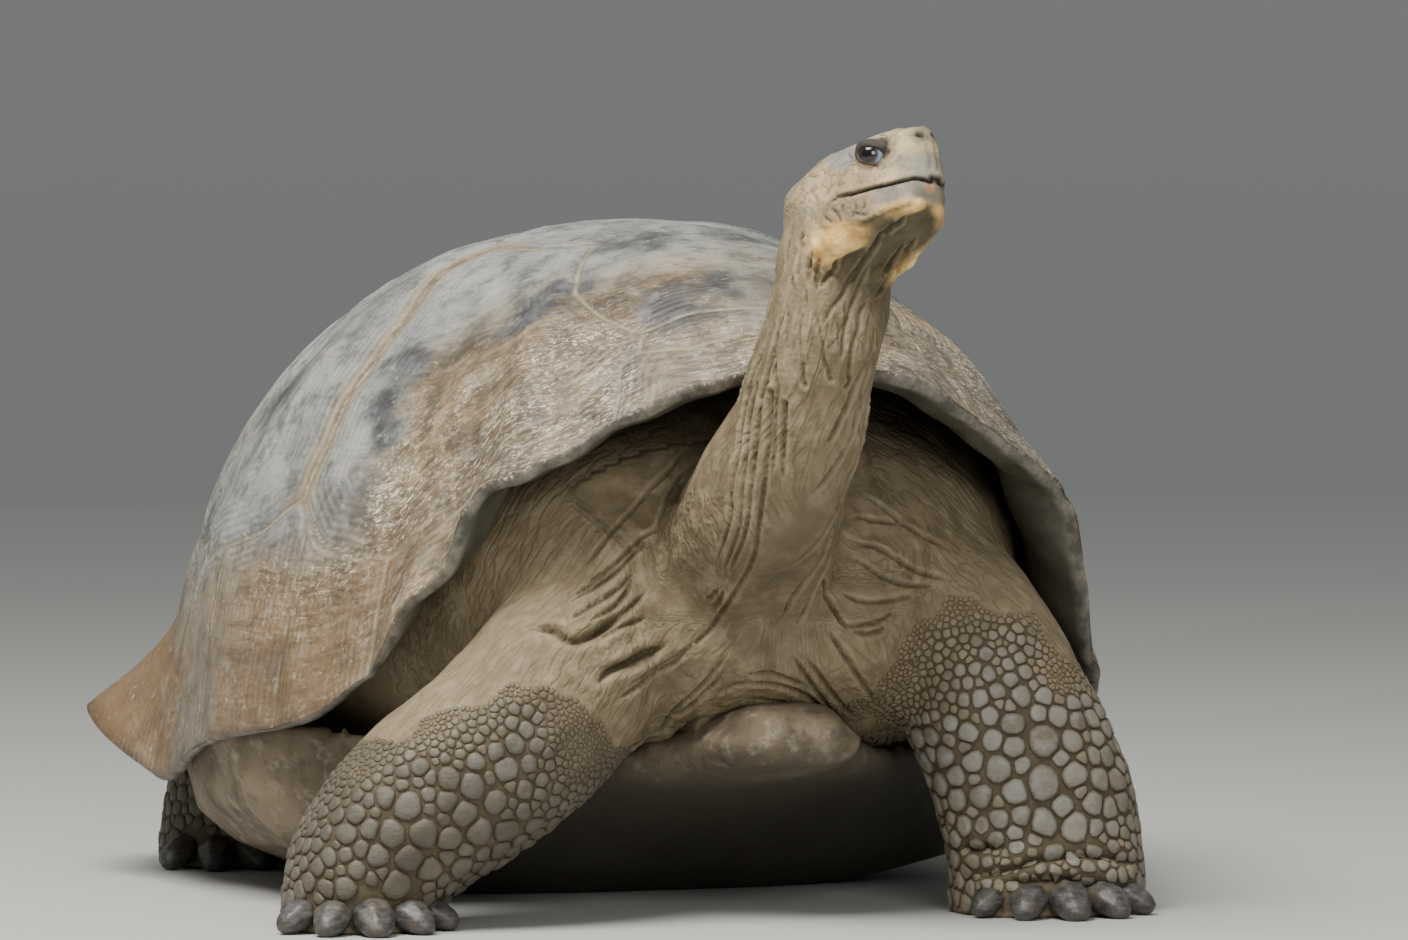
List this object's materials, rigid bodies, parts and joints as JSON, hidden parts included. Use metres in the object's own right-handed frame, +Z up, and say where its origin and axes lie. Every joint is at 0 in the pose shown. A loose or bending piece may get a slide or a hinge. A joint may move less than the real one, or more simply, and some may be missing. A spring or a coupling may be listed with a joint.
{
  "type": "giant tortoise model",
  "caption": "Life-size still model of a giant tortoise, domed shell raised on its forelegs, long neck held high and head turned to one side.",
  "frame": {"origin": "on the floor, under the middle of the model's bounding box", "axes": "+Z up; the tortoise faces -Y along its length; its left side is +X"},
  "size_m": [0.9678, 1.2972, 0.7498],
  "materials": {
    "shell": "worn grey-brown horn with pale scratches, satin",
    "plastron": "tan horn, matt",
    "skin": "dry brown scaly hide, matt",
    "beak": "ochre horn, satin",
    "claw": "dark grey horn, satin",
    "eye": "dark and wet"
  },
  "bodies": {
    "root": {"carapace_front": "shell", "carapace_rear": "shell", "plastron": "plastron", "trunk": "skin", "neck": "skin", "head": "skin", "lower_jaw": "beak", "tail": "skin", "eye_left": "eye", "eye_right": "eye", "foreleg_left": "skin", "foreleg_right": "skin", "forefoot_left": "skin", "forefoot_right": "skin", "hindleg_left": "skin", "hindleg_right": "skin", "hindfoot_left": "skin", "hindfoot_right": "skin", "claw_fore_left_1": "claw", "claw_fore_left_2": "claw", "claw_fore_left_3": "claw", "claw_fore_left_4": "claw", "claw_fore_left_5": "claw", "claw_fore_right_1": "claw", "claw_fore_right_2": "claw", "claw_fore_right_3": "claw", "claw_fore_right_4": "claw", "claw_fore_right_5": "claw", "claw_hind_left_1": "claw", "claw_hind_left_2": "claw", "claw_hind_left_3": "claw", "claw_hind_left_4": "claw", "claw_hind_right_1": "claw", "claw_hind_right_2": "claw", "claw_hind_right_3": "claw", "claw_hind_right_4": "claw"}
  },
  "joints": []
}
